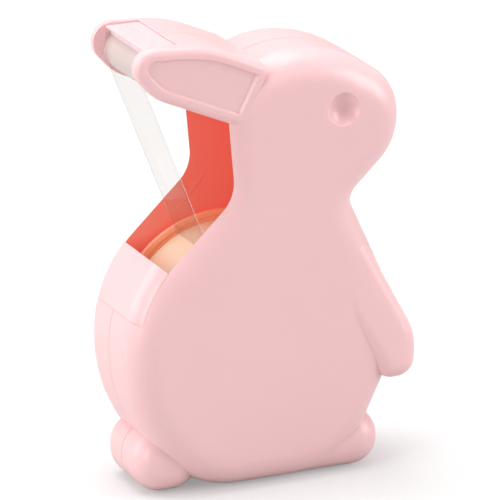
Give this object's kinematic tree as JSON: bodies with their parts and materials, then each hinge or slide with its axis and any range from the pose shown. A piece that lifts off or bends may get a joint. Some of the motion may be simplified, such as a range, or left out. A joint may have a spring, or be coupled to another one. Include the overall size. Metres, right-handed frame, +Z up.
{
  "type": "tape dispenser",
  "caption": "Small desk tape dispenser in the shape of a sitting rabbit: two hollow shells, a turning reel and a cutter between the ears.",
  "frame": {"origin": "on the desk under the middle of the body, at the centre of the overall box", "axes": "+X is the way the rabbit faces, +Z is up, the reel turns about an axis along Y"},
  "size_m": [0.0619, 0.0284, 0.0939],
  "materials": {
    "shell": "glossy moulded",
    "cutter": "glossy moulded",
    "reel": "satin moulded",
    "washer": "matt",
    "steel": "plain zinc plated",
    "core": "matt pressed paper",
    "tape": "wound film, fine rings on its sides",
    "tape_film": "clear film",
    "pads": "matt"
  },
  "bodies": {
    "stand": {"left_shell": "shell", "rear_lip": "shell", "cutter_bar": "cutter", "cutter_blade": "cutter", "reel_retainer": "reel", "axle_screw": "steel", "drag_washer": "washer", "ballast_weight": "steel", "left_foot_pads": "pads", "tape_strip": "tape_film"},
    "reel": {"reel_hub": "reel", "tape_core": "core", "tape_roll": "tape"},
    "cover": {"right_shell": "shell", "right_foot_pads": "pads"}
  },
  "joints": [
    {"name": "reel_spin", "type": "hinge", "parent": "stand", "child": "reel", "pos_m": [-0.0034, 0, 0.0289], "axis": [0, 1, 0], "continuous": true},
    {"name": "cover_pull", "type": "slide", "parent": "stand", "child": "cover", "axis": [0, -1, 0], "range_m": [0, 0.03]}
  ]
}
